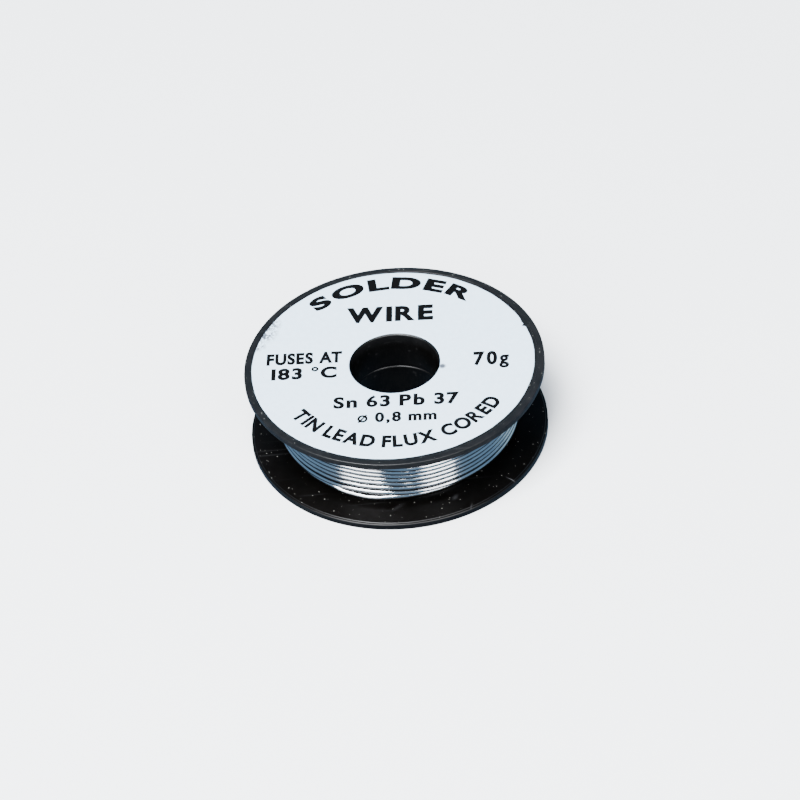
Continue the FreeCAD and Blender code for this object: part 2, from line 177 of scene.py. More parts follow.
def black_polystyrene():
    """Black moulded plastic: a soft gloss with flow marks, fine scratches and settled dust, with painted light: a
    greyer upper ring and patches of painted highlight on the lower flange.
    """
    material = bpy.data.materials.new("black_polystyrene")
    tree, shader = nodes_of(material)
    point = place_in_mm(tree)
    reach, angle, height = round_the_axis(tree)
    flow = add(tree, "ShaderNodeTexNoise", (0, point), Scale=0.16, Detail=3.0, Roughness=0.55)
    grain = add(tree, "ShaderNodeTexNoise", (0, point), Scale=5.0, Detail=2.0)
    # scratches: long thin noise laid two ways
    scratched = None
    for turn, stretch in ((0.4, 26.0), (1.9, 34.0)):
        where = add(tree, "ShaderNodeTexCoord")
        laid = add(tree, "ShaderNodeMapping", (0, where.outputs["Object"]),
                   Rotation=(0.0, 0.0, turn), Scale=(stretch, 1400.0, 900.0))
        lines = add(tree, "ShaderNodeTexNoise", (0, laid.outputs[0]), Scale=1.0, Detail=1.0)
        marks = ramp(tree, lines.outputs[0], (0.70, 0.0), (0.735, 1.0))
        scratched = marks if scratched is None else maths(tree, "MAXIMUM", scratched, marks)
    # dust: small pale specks on what faces up, most of them tiny
    specks = add(tree, "ShaderNodeTexVoronoi", (0, point), voronoi_dimensions="2D", Scale=1.15, Randomness=1.0)
    chance = add(tree, "ShaderNodeTexWhiteNoise", (0, specks.outputs["Position"]), noise_dimensions="3D")
    limit = maths(tree, "MULTIPLY", maths(tree, "POWER", chance.outputs[0], 8.0), 0.115)
    dust = maths(tree, "LESS_THAN", specks.outputs["Distance"], limit)
    up = facing_up(tree)
    dust = maths(tree, "MULTIPLY", dust, maths(tree, "GREATER_THAN", up, 0.7))
    # painted light: the ring round the label is painted greyer by height, and the lower flange below it is left
    # darker as painted shade
    tone_shift = ramp(tree, maths(tree, "DIVIDE", height, 20.0), (0.60, 0.0), (0.68, 1.0))
    # the film noise is laid on more heavily on the upper ring, as part of the same painted light
    film = add(tree, "ShaderNodeTexNoise", (0, point), Scale=0.35, Detail=4.0, Roughness=0.65)
    film_and_painted_light = maths(tree, "MULTIPLY", ramp(tree, film.outputs[0], (0.40, 0.0), (0.8, 0.22)),
                        maths(tree, "MULTIPLY_ADD", tone_shift, 0.75, 0.25))
    colour = mix(tree, flow.outputs[0], (0.0008, 0.0006, 0.0005), (0.0014, 0.0011, 0.0009))
    colour = mix(tree, tone_shift, colour, (0.0033, 0.0033, 0.0035))
    colour = mix(tree, film_and_painted_light, colour, (0.018, 0.017, 0.017))
    colour = mix(tree, maths(tree, "MULTIPLY", scratched, 0.20), colour, (0.03, 0.03, 0.031))
    # one scratch runs out to the rim at the front right, and three lighter patches along the front are painted
    # highlight and a painted reflection of the wire
    for x, y, turn, long, wide, strength in SCRATCH_AND_PAINTED_HIGHLIGHTS:
        laid = add(tree, "ShaderNodeMapping", (0, point), vector_type="TEXTURE", Location=(x, y, WALL),
                   Rotation=(0.0, 0.0, math.radians(turn)), Scale=(long, wide, 0.4))
        far = add(tree, "ShaderNodeVectorMath", (0, laid.outputs[0]), operation="LENGTH")
        broken = maths(tree, "MULTIPLY_ADD", grain.outputs[0], 1.2, -0.6)
        near = ramp(tree, maths(tree, "ADD", far.outputs["Value"], broken), (0.25, strength), (1.0, 0.0))
        colour = mix(tree, near, colour, (0.10, 0.10, 0.105))
    colour = mix(tree, maths(tree, "MULTIPLY", dust, 0.5), colour, (0.30, 0.30, 0.27))
    tree.links.new(colour, shader.inputs["Base Color"])
    rough = maths(tree, "ADD", maths(tree, "MULTIPLY", flow.outputs[0], 0.16), 0.24)
    rough = maths(tree, "ADD", rough, maths(tree, "MULTIPLY", film_and_painted_light, 0.6))
    rough = maths(tree, "ADD", rough, maths(tree, "MULTIPLY", scratched, 0.15), clamp=True)
    tree.links.new(rough, shader.inputs["Roughness"])
    shader.inputs["IOR"].default_value = 1.50
    in_bore = maths(tree, "LESS_THAN", reach, BORE + 0.06)
    # painted shade: the lower flange's face and the bore get a lower specular level, standing in for the shade
    # they lie in
    painted_shade_on_gloss = maths(tree, "MULTIPLY", maths(tree, "GREATER_THAN", up, 0.98),
                      maths(tree, "SUBTRACT", 1.0, tone_shift))
    painted_shade_on_gloss = maths(tree, "MAXIMUM", painted_shade_on_gloss, in_bore)
    tree.links.new(maths(tree, "MULTIPLY_ADD", painted_shade_on_gloss, -0.24, 0.32), shader.inputs["Specular IOR Level"])
    # in the bore the core pin left fine lines along its pull
    pull = add(tree, "ShaderNodeCombineXYZ", (0, maths(tree, "MULTIPLY", angle, 150.0)),
               (1, maths(tree, "MULTIPLY", height, 0.12)))
    drag = add(tree, "ShaderNodeTexNoise", (0, pull.outputs[0]), Scale=1.0, Detail=2.0)
    relief = maths(tree, "ADD", maths(tree, "MULTIPLY", grain.outputs[0], 0.25),
                   maths(tree, "MULTIPLY", maths(tree, "MULTIPLY", drag.outputs[0], in_bore), 2.5))
    relief = maths(tree, "SUBTRACT", relief, maths(tree, "MULTIPLY", scratched, 0.6))
    bump = add(tree, "ShaderNodeBump", ("Height", relief), Strength=0.35, Distance=0.00002)
    tree.links.new(bump.outputs[0], shader.inputs["Normal"])
    return material


def smoothed(mesh):
    """Smooth faces, with an edge left sharp where its two faces turn by more than SHARP_ABOVE."""
    mesh.shade_smooth()
    mesh.set_sharp_from_angle(angle=SHARP_ABOVE)


def finished(name, bm, material):
    """A closed mesh from a bmesh, its doubles merged, its faces outward and its curved faces smooth."""
    bmesh.ops.remove_doubles(bm, verts=bm.verts, dist=1e-7)
    bmesh.ops.recalc_face_normals(bm, faces=bm.faces)
    mesh = bpy.data.meshes.new(name)
    bm.to_mesh(mesh)
    bm.free()
    mesh.materials.append(material)
    smoothed(mesh)
    piece = bpy.data.objects.new(name, mesh)
    bpy.context.scene.collection.objects.link(piece)
    return piece


def rounded(corners):
    """A closed outline of (reach, height) corners, each with the radius that it is rounded to."""
    outline = []
    for i, (r, z, radius) in enumerate(corners):
        here = Vector((r, z))
        if radius <= 0:
            outline.append(here)
            continue
        before = (Vector(corners[i - 1][:2]) - here).normalized()
        after = (Vector(corners[(i + 1) % len(corners)][:2]) - here).normalized()
        half = before.angle(after) / 2
        cut = radius / math.tan(half)
        centre = here + (before + after).normalized() * (radius / math.sin(half))
        start, end = here + before * cut - centre, here + after * cut - centre
        for k in range(CORNER_STEPS + 1):
            t = k / CORNER_STEPS
            spread = start.angle(end)
            blend = (start * math.sin((1 - t) * spread) + end * math.sin(t * spread)) / math.sin(spread)
            outline.append(centre + blend)
    return outline


def turned(outline):
    """A ring-shaped bmesh: the outline, in millimetres, turned once round the Z axis."""
    bm = bmesh.new()
    rings = []
    for i in range(AROUND):
        turn = math.tau * i / AROUND
        c, s = math.cos(turn) * MM, math.sin(turn) * MM
        rings.append([bm.verts.new((p.x * c, p.x * s, p.y * MM)) for p in outline])
    for i in range(AROUND):
        one, two = rings[i], rings[(i + 1) % AROUND]
        for k in range(len(outline)):
            j = (k + 1) % len(outline)
            bm.faces.new((one[k], two[k], two[j], one[j]))
    return bm


def cut_out(piece, tool):
    """Takes a tool's shape out of a piece, and removes the tool."""
    cut = piece.modifiers.new("cut", "BOOLEAN")
    cut.operation = "DIFFERENCE"
    cut.solver = "EXACT"
    cut.object = tool
    applied = bpy.data.meshes.new_from_object(piece.evaluated_get(bpy.context.evaluated_depsgraph_get()))
    piece.modifiers.clear()
    piece.data = applied
    bpy.data.objects.remove(tool)
    smoothed(piece.data)


def pegs(places, radius, bottom, top):
    """Upright round cutting tools at (x, y) places, in millimetres."""
    bm = bmesh.new()
    for x, y in places:
        shift = Matrix.Translation(Vector((x, y, (bottom + top) / 2)) * MM)
        bmesh.ops.create_cone(bm, cap_ends=True, segments=PEG_SIDES, radius1=radius * MM, radius2=radius * MM,
                              depth=(top - bottom) * MM, matrix=shift)
    return finished("pegs", bm, plastic)


def reel_half(hub_end):
    """One half, outer face down: rim, groove side, hub, joint, bore and recessed face.

    The corners with no radius on the flat faces are rings of points next to an edge, which keep the faces flat.
    """
    corners = [(FLANGE, 0.0, 0.10), (FLANGE, 0.98, 0.05), (FLANGE - 0.11, 1.09, 0.04),
               (FLANGE - 0.35, 1.12, 0.03), (FLANGE - 0.43, WALL, 0.03), (FLANGE - 0.5, WALL, 0.0),
               (HUB + 0.2, WALL, 0.0), (HUB, WALL, 0.12), (HUB, hub_end, 0.0), (JOINT, hub_end, 0.0),
               (JOINT, SEAM, 0.0), (BORE + 0.15, SEAM, 0.0), (BORE, SEAM - 0.15, 0.0),
               (BORE, RECESS_DEPTH + 0.3, 0.10), (BORE + 0.3, RECESS_DEPTH, 0.06),
               (BORE + 0.42, RECESS_DEPTH, 0.0), (RECESS - 0.06, RECESS_DEPTH, 0.0),
               (RECESS, RECESS_DEPTH, 0.03), (RECESS, 0.0, 0.04)]
    return turned(rounded(corners))


plastic = black_polystyrene()
quarters = [math.pi / 2 * k for k in range(4)]
ejectors = [(EJECTOR_AT * math.cos(turn), EJECTOR_AT * math.sin(turn)) for turn in quarters]

plain_half = finished("reel_plain_half", reel_half(SEAM + JOINT_LAP), plastic)
cut_out(plain_half, pegs(ejectors, EJECTOR, -0.5, RECESS_DEPTH + EJECTOR_DEPTH))
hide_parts("plain_side_half")

# The other half is made the same way up, turned over and lifted, so its ejector marks are cut after that.
bm = reel_half(HEIGHT - SEAM - JOINT_LAP)
bmesh.ops.transform(bm, verts=bm.verts,
                    matrix=Matrix.Translation((0, 0, HEIGHT * MM)) @ Matrix.Rotation(math.pi, 4, "X"))
label_half = finished("reel_label_half", bm, plastic)
turned_over = [(-y, -x) for x, y in ejectors]
cut_out(label_half, pegs(turned_over, EJECTOR, HEIGHT - RECESS_DEPTH - EJECTOR_DEPTH, HEIGHT + 0.5))
start_turn = math.radians(FIRST_AZIMUTH) + math.atan(BEFORE_START / FIRST)
start_reach = math.hypot(FIRST, BEFORE_START)
start_place = (start_reach * math.cos(start_turn), start_reach * math.sin(start_turn))
cut_out(label_half, pegs([start_place], START_HOLE, HEIGHT - WALL - 0.5, HEIGHT + 0.5))
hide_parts("label_side_half")

for half in (plain_half, label_half):
    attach(half, "root")


# ---- the wire ---------------------------------------------------------------------------------------------
# One length of 0.8 mm tin-lead wire, drawn round a flux core and wound clockwise in layers. Its turns lie
# flat, and a short jog at the front and at the back of each turn carries it on by half a pitch.

# millimetres, degrees and turns; WIRE is the wire's radius, LOW and HIGH are the centre line's levels at the
# flanges, and LAST_TOP is its level where the outer end leaves the winding
WIRE = 0.4
STEP = 0.805
LOW = 1.62
HIGH = 12.78
LAYER_JOGS = 27
JOG_AT = -95.0
RAMP = 40.0
LAST_TURNS = 11.4
LAST_TOP = 2.4467 + 23 * 0.435


def eased(t):
    """A smooth step from nought to one."""
    t = min(1.0, max(0.0, t))
    return t * t * (3 - 2 * t)


def between(knots, x):
    """A smooth value between (x, value) knots, which go down in x."""
    if x >= knots[0][0]:
        return knots[0][1]
    for (x0, v0), (x1, v1) in zip(knots, knots[1:]):
        if x >= x1:
            return v0 + (v1 - v0) * eased((x0 - x) / (x0 - x1))
    return knots[-1][1]


def jogs_passed(azimuth, start, width):
    """How many jogs lie between the start and an azimuth further on, with the present one's share."""
    first = JOG_AT + 180.0 * math.floor((start - JOG_AT) / 180.0)
    along = (first - azimuth) / 180.0 + 0.5
    whole = math.floor(along)
    share = ((along - whole - 0.5) * 180.0) / width + 0.5
    return max(0.0, whole + eased(share)) if along > -0.5 else 0.0


def wire_line(start, turns, level, reach, ramp_to=None, width=30.0, step=2.5):
    """Points of one layer's centre line, from its start azimuth clockwise, with the ramp that follows it."""
    points = []
    total = 360.0 * turns + (RAMP if ramp_to else 0.0)
    count = int(total / step)
    for i in range(count + 1):
        azimuth = start - total * i / count
        r = reach(azimuth) if callable(reach) else reach
        if ramp_to:
            r += (ramp_to - r) * eased((start - 360.0 * turns - azimuth) / RAMP)
        z = level(azimuth, jogs_passed(azimuth, start, width))
        turn = math.radians(azimuth)
        points.append(Vector((r * math.cos(turn), r * math.sin(turn), z)) * MM)
    return points


def path_object(name, lines):
    """A curve object with one poly spline for each line of points."""
    data = bpy.data.curves.new(name, "CURVE")
    data.dimensions = "3D"
    for points in lines:
        spline = data.splines.new("POLY")
        spline.points.add(len(points) - 1)
        for point, place in zip(spline.points, points):
            point.co = (*place, 1.0)
    path = bpy.data.objects.new(name, data)
    bpy.context.scene.collection.objects.link(path)
    return path


def winding_tree(material):
    """Geometry nodes that draw wire along a path, with capped ends."""
    tree = bpy.data.node_groups.new("drawn_wire", "GeometryNodeTree")
    tree.interface.new_socket("Path", in_out="INPUT", socket_type="NodeSocketGeometry")
    for name, kind, value in (("Wire Radius", "NodeSocketFloat", WIRE * MM), ("Sides", "NodeSocketInt", 16),
                              ("Waver", "NodeSocketFloat", 0.004 * MM)):
        tree.interface.new_socket(name, in_out="INPUT", socket_type=kind).default_value = value
    tree.interface.new_socket("Wire", in_out="OUTPUT", socket_type="NodeSocketGeometry")
    given = add(tree, "NodeGroupInput")
    # the wire's radius wavers a very little along its length, as rolled and pulled wire's does
    place = add(tree, "GeometryNodeInputPosition")
    noise = add(tree, "ShaderNodeTexNoise", (0, place.outputs[0]), Scale=900.0, Detail=2.0)
    off = add(tree, "ShaderNodeMath", (0, noise.outputs[0]), operation="SUBTRACT")
    off.inputs[1].default_value = 0.5
    change = add(tree, "ShaderNodeMath", (0, off.outputs[0]), (1, given.outputs["Waver"]), operation="MULTIPLY")
    radius = add(tree, "ShaderNodeMath", (0, given.outputs["Wire Radius"]), (1, change.outputs[0]),
                 operation="ADD")
    sized = add(tree, "GeometryNodeSetCurveRadius", (0, given.outputs["Path"]), ("Radius", radius.outputs[0]))
    section = add(tree, "GeometryNodeCurvePrimitiveCircle", ("Resolution", given.outputs["Sides"]), Radius=1.0)
    scale = add(tree, "GeometryNodeInputRadius")
    drawn = add(tree, "GeometryNodeCurveToMesh", (0, sized.outputs[0]), (1, section.outputs[0]),
                ("Scale", scale.outputs[0]), Fill_Caps=True)
    smooth = add(tree, "GeometryNodeSetShadeSmooth", (0, drawn.outputs[0]))
    real = add(tree, "GeometryNodeRealizeInstances", (0, smooth.outputs[0]))
    coated = add(tree, "GeometryNodeSetMaterial", (0, real.outputs[0]), Material=material)
    result = add(tree, "NodeGroupOutput", (0, coated.outputs[0]))
    result.is_active_output = True
    return tree


def drawn_wire(name, lines, sides):
    """A plain mesh of wire along lines of points."""
    path = path_object(name + "_path", lines)
    modifier = path.modifiers.new("wire", "NODES")
    modifier.node_group = wire_nodes
    inputs = {item.name: item.identifier for item in wire_nodes.interface.items_tree if item.in_out == "INPUT"}
    modifier[inputs["Sides"]] = sides
    modifier[inputs["Wire Radius"]] = WIRE * MM
    mesh = bpy.data.meshes.new_from_object(path.evaluated_get(bpy.context.evaluated_depsgraph_get()))
    bpy.data.objects.remove(path)
    mesh.name = name
    piece = bpy.data.objects.new(name, mesh)
    bpy.context.scene.collection.objects.link(piece)
    return piece


def drawn_solder():
    """Tin-lead wire: bright metal with fine draw lines along it, dulled in patches by a bluish grey oxide."""
    material = bpy.data.materials.new("drawn_solder")
    tree, shader = nodes_of(material)
    point = place_in_mm(tree)
    reach, angle, height = round_the_axis(tree)
    # draw lines run round the spool, so they vary quickly across the wire and slowly along it
    line_at = add(tree, "ShaderNodeCombineXYZ", (0, maths(tree, "MULTIPLY", angle, 40.0)),
                  (1, maths(tree, "MULTIPLY", reach, 16.0)), (2, maths(tree, "MULTIPLY", height, 16.0)))
    lines = add(tree, "ShaderNodeTexNoise", (0, line_at.outputs[0]), Scale=1.0, Detail=3.0, Roughness=0.6)
    oxide_at = add(tree, "ShaderNodeCombineXYZ", (0, maths(tree, "MULTIPLY", angle, 30.0)),
                   (1, maths(tree, "MULTIPLY", reach, 1.0)), (2, maths(tree, "MULTIPLY", height, 1.4)))
    oxide = add(tree, "ShaderNodeTexNoise", (0, oxide_at.outputs[0]), Scale=1.0, Detail=4.0, Roughness=0.6)
    dulled = ramp(tree, oxide.outputs[0], (0.42, 0.0), (0.68, 1.0))
    fine = add(tree, "ShaderNodeTexNoise", (0, point), Scale=9.0, Detail=2.0)
    colour = mix(tree, dulled, (0.82, 0.83, 0.84), (0.60, 0.63, 0.66))
    colour = mix(tree, ramp(tree, lines.outputs[0], (0.35, 0.30), (0.65, 0.0)), colour, (0.48, 0.52, 0.56))
    # painted shade: the wire's sides that face up and down, in the grooves between turns, are painted dark, a
    # little unevenly
    facing = facing_up(tree)
    under_side = ramp(tree, maths(tree, "MULTIPLY", facing, -1.0), (0.10, 0.0), (0.55, 1.0))
    upper_side = ramp(tree, facing, (0.86, 0.0), (0.97, 1.0))
    painted_groove_shade = maths(tree, "MAXIMUM", under_side, upper_side)
    painted_groove_shade = maths(tree, "MULTIPLY", painted_groove_shade, maths(tree, "MULTIPLY_ADD", oxide.outputs[0], 0.35, 0.72), clamp=True)
    colour = mix(tree, painted_groove_shade, colour, (0.030, 0.034, 0.040))
    tree.links.new(colour, shader.inputs["Base Color"])
    shader.inputs["Metallic"].default_value = 1.0
    rough = maths(tree, "ADD", 0.15, maths(tree, "MULTIPLY", dulled, 0.06))
    rough = maths(tree, "ADD", rough, maths(tree, "MULTIPLY", fine.outputs[0], 0.03))
    # the draw lines spread a reflection across the wire and leave it sharp along it
    shader.inputs["Anisotropic"].default_value = 0.85
    shader.inputs["Anisotropic Rotation"].default_value = 0.25
    run = add(tree, "ShaderNodeTangent", direction_type="RADIAL", axis="Z")
    tree.links.new(run.outputs[0], shader.inputs["Tangent"])
    tree.links.new(rough, shader.inputs["Roughness"])
    relief = maths(tree, "ADD", lines.outputs[0], maths(tree, "MULTIPLY", fine.outputs[0], 0.3))
    bump = add(tree, "ShaderNodeBump", ("Height", relief), Strength=0.10, Distance=0.00002)
    tree.links.new(bump.outputs[0], shader.inputs["Normal"])
    return material


solder = drawn_solder()
wire_nodes = winding_tree(solder)


def inner_layer(layer, start):
    """A full layer and the ramp to the next one, level for level from flange to flange."""
    climb = (HIGH - LOW) / LAYER_JOGS * (1 if layer % 2 == 0 else -1)
    foot = LOW if layer % 2 == 0 else HIGH
    turns = LAYER_JOGS / 2 - RAMP / 360

    def level(azimuth, jogs):
        return foot + climb * min(jogs, LAYER_JOGS)

    r = FIRST + (layer - 1) * STEP
    line = wire_line(start, turns, level, r, ramp_to=r + STEP, step=5.0)
    return line, start - 360.0 * turns - RAMP


# Layers one to twelve lie under the others and fill the hub.
azimuth = FIRST_AZIMUTH
inner_lines = []
for layer in range(1, 13):
    line, azimuth = inner_layer(layer, azimuth)
    inner_lines.append(line)
CAD_LAYERS = [f"wire_layer_{layer:02d}" for layer in range(1, 13)]
for name, first, last, sides in (("wire_layers_01_to_06", 0, 6, 8), ("wire_layers_07_to_11", 6, 11, 8),
                                 ("wire_layer_12_drawn", 11, 12, 16)):
    piece = drawn_wire(name, inner_lines[first:last], sides)
    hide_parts(*CAD_LAYERS[first:last])
    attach(piece, "root")

# Layer thirteen comes down from the labelled flange and stops two turns short of a full layer, one turn sooner
# than in the CAD, so that the outermost layer's first turn has room.
UNDER_JOGS = 23
UNDER_FOOT = 3.24
CAD_UNDER_TURNS = 25 / 2
under_turns = CAD_UNDER_TURNS - RAMP / 360 - 1.0
under_reach = FIRST + 12 * STEP


def under_level(azimuth, jogs):
    """The height of layer thirteen's centre line."""
    return HIGH - (HIGH - UNDER_FOOT) * min(jogs, UNDER_JOGS) / UNDER_JOGS


under = drawn_wire("wire_layer_13_drawn",
                   [wire_line(azimuth, under_turns, under_level, under_reach, step=2.0)], 20)
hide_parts("wire_layer_13", "wire_layer_ramps")
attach(under, "root")
top_start = azimuth - 360.0 * under_turns

# The outermost layer. Its first turn runs down off the layer below and leaves a gap under the second; from
# there on the turns lie close, each at its own level before and after the front jog.
TOP_LEVELS = (2.60, 3.00, 3.46, 3.72, 4.48, 4.82, 5.32, 5.80, 6.20, 6.66, 7.03, 7.52, 7.85, 8.34, 8.62, 9.10,
              9.49, 9.92, 10.33, 10.76, 11.18, 11.61, 12.03, LAST_TOP)
# (angle from the front, value) along the first turn
FIRST_TURN_LEVEL = ((70.0, UNDER_FOOT), (52.0, 2.95), (33.0, 2.83), (14.0, 2.71), (-3.0, 2.60), (-18.0, 2.50),
                    (-28.0, 2.60), (-38.0, 2.93), (-60.0, 3.00))
FIRST_TURN_REACH = ((70.0, 19.08), (52.0, 19.16), (33.0, 19.34), (14.0, 19.55), (-3.0, 19.74), (-18.0, 19.97),
                    (-30.0, 19.90), (-45.0, 19.75), (-60.0, 19.58), (-110.0, 19.58), (-165.0, 19.885))
WAVE = 0.018
DIP = 0.12
DENT = 0.05
random.seed(7)
top_wander = [[random.uniform(-1, 1) for _ in range(6)] for _ in TOP_LEVELS]


def into_first_turn(azimuth):
    """The angle from the front, positive to the right, of a point in the first turn; later turns go on down."""
    return azimuth - top_start + 80.0


def from_front(azimuth):
    """The angle from the front of a point in any turn, positive to the right."""
    return (azimuth + 90.0 + 180.0) % 360.0 - 180.0


def wander(azimuth, jogs):
    """The small rise and fall of a turn about its level, with a dip just left of the front jog."""
    one = top_wander[int(min(jogs + 0.5, len(top_wander) - 1))]
    turn = math.radians(azimuth)
    wave = WAVE * (one[0] * math.sin(3 * turn + one[1] * 3) + one[2] * math.sin(5 * turn + one[3] * 3)
                   + one[4] * math.sin(8 * turn + one[5] * 3))
    front = from_front(azimuth)
    return wave - DIP * eased((-24.0 - front) / 14.0) * eased((front + 75.0) / 25.0)


def top_level(azimuth, jogs):
    """The height of the outermost layer's centre line."""
    along = into_first_turn(azimuth)
    if along > -60.0:
        return between(FIRST_TURN_LEVEL, along)
    whole = min(int(jogs), len(TOP_LEVELS) - 1)
    share = jogs - whole
    after = TOP_LEVELS[min(whole + 1, len(TOP_LEVELS) - 1)]
    fade = eased((-60.0 - along) / 60.0) * eased((azimuth - top_end) / 120.0)
    return TOP_LEVELS[whole] * (1 - share) + after * share + wander(azimuth, jogs) * fade


def top_reach(azimuth):
    """The outermost layer's distance from the axis, a little uneven where the wire was pressed over a jog."""
    front = from_front(azimuth)
    pressed = eased((front + 6.0) / 4.0) * eased((8.0 - front) / 4.0)
    return between(FIRST_TURN_REACH, into_first_turn(azimuth)) - random.uniform(0.0, DENT) * pressed


top_turns = LAST_TURNS + RAMP / 360
top_end = top_start - 360.0 * top_turns
top = drawn_wire("wire_layer_14_drawn",
                 [wire_line(top_start, top_turns, top_level, top_reach, width=19.0, step=1.5)], 24)
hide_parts("wire_layer_14")
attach(top, "root")

# The wire's two ends are cut tubes with the flux showing in them, one in the start hole and one at the back.
for name in ("wire_inner_end", "wire_outer_end"):
    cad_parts[name].data.materials.clear()
    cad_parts[name].data.materials.append(solder)


def amber_flux():
    """Rosin flux: a brittle amber resin, clearer in places and powdery where it broke."""
    material = bpy.data.materials.new("amber_flux")
    tree, shader = nodes_of(material)
    point = place_in_mm(tree)
    cloud = add(tree, "ShaderNodeTexNoise", (0, point), Scale=6.0, Detail=3.0)
    colour = mix(tree, cloud.outputs[0], (0.62, 0.36, 0.08), (0.80, 0.62, 0.32))
    tree.links.new(colour, shader.inputs["Base Color"])
    tree.links.new(maths(tree, "ADD", 0.25, maths(tree, "MULTIPLY", cloud.outputs[0], 0.4)),
                   shader.inputs["Roughness"])
    bump = add(tree, "ShaderNodeBump", ("Height", cloud.outputs[0]), Strength=0.5, Distance=0.00003)
    tree.links.new(bump.outputs[0], shader.inputs["Normal"])
    return material


flux = amber_flux()
for name in ("flux_core_inner_end", "flux_core_outer_end"):
    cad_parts[name].data.materials.clear()
    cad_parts[name].data.materials.append(flux)


# ---- the label --------------------------------------------------------------------------------------------
# A round of coated white paper stuck into the recess of the upper flange, a little off centre. It is die-cut
# with the spool's hole in it, and has a small nick in its right-hand edge.

LABEL = 23.55
LABEL_HOLE = 7.60
LABEL_BOTTOM = HEIGHT - RECESS_DEPTH
LABEL_TOP = LABEL_BOTTOM + 0.1
LABEL_SHIFT = Vector((-0.2, 0.1, 0.0))
HOLE_SHIFT = Vector((0.3, 0.0, 0.0))
NICK_AT = math.radians(16.5)
# x, y, reach, the noise that it starts at, strength
DIRTY = ((-21.4, 10.7, 2.8, 0.47, 1.0), (-20.2, 12.8, 2.2, 0.48, 0.9), (-22.6, 7.6, 1.8, 0.49, 0.9),
         (7.92, -1.85, 0.75, 0.25, 1.0))


def coated_paper():
    """Coated paper: cool white, faintly mottled, with handling marks, specks and dirt at its left edge."""
    material = bpy.data.materials.new("coated_paper")
    tree, shader = nodes_of(material)
    point = place_in_mm(tree)
    reach, _, _ = round_the_axis(tree)
    mottle = add(tree, "ShaderNodeTexNoise", (0, point), Scale=0.9, Detail=5.0, Roughness=0.65)
    fibre = add(tree, "ShaderNodeTexNoise", (0, point), Scale=14.0, Detail=3.0)
    tone_shift = add(tree, "ShaderNodeTexNoise", (0, point), Scale=0.11, Detail=2.0)
    colour = mix(tree, ramp(tree, mottle.outputs[0], (0.3, 0.0), (0.7, 1.0)), (0.54, 0.685, 0.82),
                 (0.61, 0.76, 0.89))
    colour = mix(tree, ramp(tree, tone_shift.outputs[0], (0.5, 0.0), (0.75, 0.16)), colour, (0.50, 0.64, 0.77))
    # grime gathers along the cut edges
    rim = maths(tree, "MULTIPLY", ramp(tree, maths(tree, "DIVIDE", reach, 24.0), (0.93, 0.0), (0.985, 1.0)),
                ramp(tree, mottle.outputs[0], (0.5, 0.0), (0.8, 0.5)))
    colour = mix(tree, rim, colour, (0.42, 0.46, 0.50))
    # small dirt specks, most of them low on the left
    parts = add(tree, "ShaderNodeSeparateXYZ", (0, point))
    left = ramp(tree, maths(tree, "MULTIPLY_ADD", parts.outputs[0], -0.02, 0.5), (0.78, 0.12), (0.98, 1.0))
    specks = add(tree, "ShaderNodeTexVoronoi", (0, point), Scale=1.5, Randomness=1.0)
    chance = add(tree, "ShaderNodeTexWhiteNoise", (0, specks.outputs["Position"]), noise_dimensions="3D")
    limit = maths(tree, "MULTIPLY", maths(tree, "POWER", chance.outputs[0], 5.0),
                  maths(tree, "MULTIPLY", left, 0.16))
    dirt = maths(tree, "LESS_THAN", specks.outputs["Distance"], limit)
    colour = mix(tree, maths(tree, "MULTIPLY", dirt, 0.7), colour, (0.10, 0.10, 0.11))
    # a dirty patch along the left edge, and a small smudge beside the hole
    grit = add(tree, "ShaderNodeTexNoise", (0, point), Scale=2.4, Detail=4.0, Roughness=0.75)
    for x, y, across, least, strength in DIRTY:
        far = add(tree, "ShaderNodeVectorMath", (0, point), operation="DISTANCE")
        far.inputs[1].default_value = (x, y, LABEL_TOP)
        near = ramp(tree, maths(tree, "DIVIDE", far.outputs["Value"], across), (0.45, strength), (1.0, 0.0))
        specked = ramp(tree, grit.outputs[0], (least, 0.0), (least + 0.05, 1.0))
        colour = mix(tree, maths(tree, "MULTIPLY", near, specked), colour, (0.06, 0.07, 0.09))
    tree.links.new(colour, shader.inputs["Base Color"])
    rough = maths(tree, "ADD", 0.42, maths(tree, "MULTIPLY", mottle.outputs[0], 0.16))
    tree.links.new(rough, shader.inputs["Roughness"])
    relief = maths(tree, "ADD", maths(tree, "MULTIPLY", fibre.outputs[0], 0.4), mottle.outputs[0])
    bump = add(tree, "ShaderNodeBump", ("Height", relief), Strength=0.3, Distance=0.00001)
    tree.links.new(bump.outputs[0], shader.inputs["Normal"])
    return material


def label_edge(turn):
    """The label's outer reach at an angle: a true circle with a worn edge and the nick."""
    worn = 0.02 * math.sin(7 * turn + 1.0) + 0.014 * math.sin(19 * turn) + 0.008 * math.sin(43 * turn + 2.0)
    away = math.degrees((turn - NICK_AT + math.pi) % math.tau - math.pi)
    nick = 0.55 * max(0.0, 1 - abs(away) / 0.9) + 0.16 * math.exp(-((away - 2.2) / 1.6) ** 2)
    return LABEL - 0.03 + worn - nick


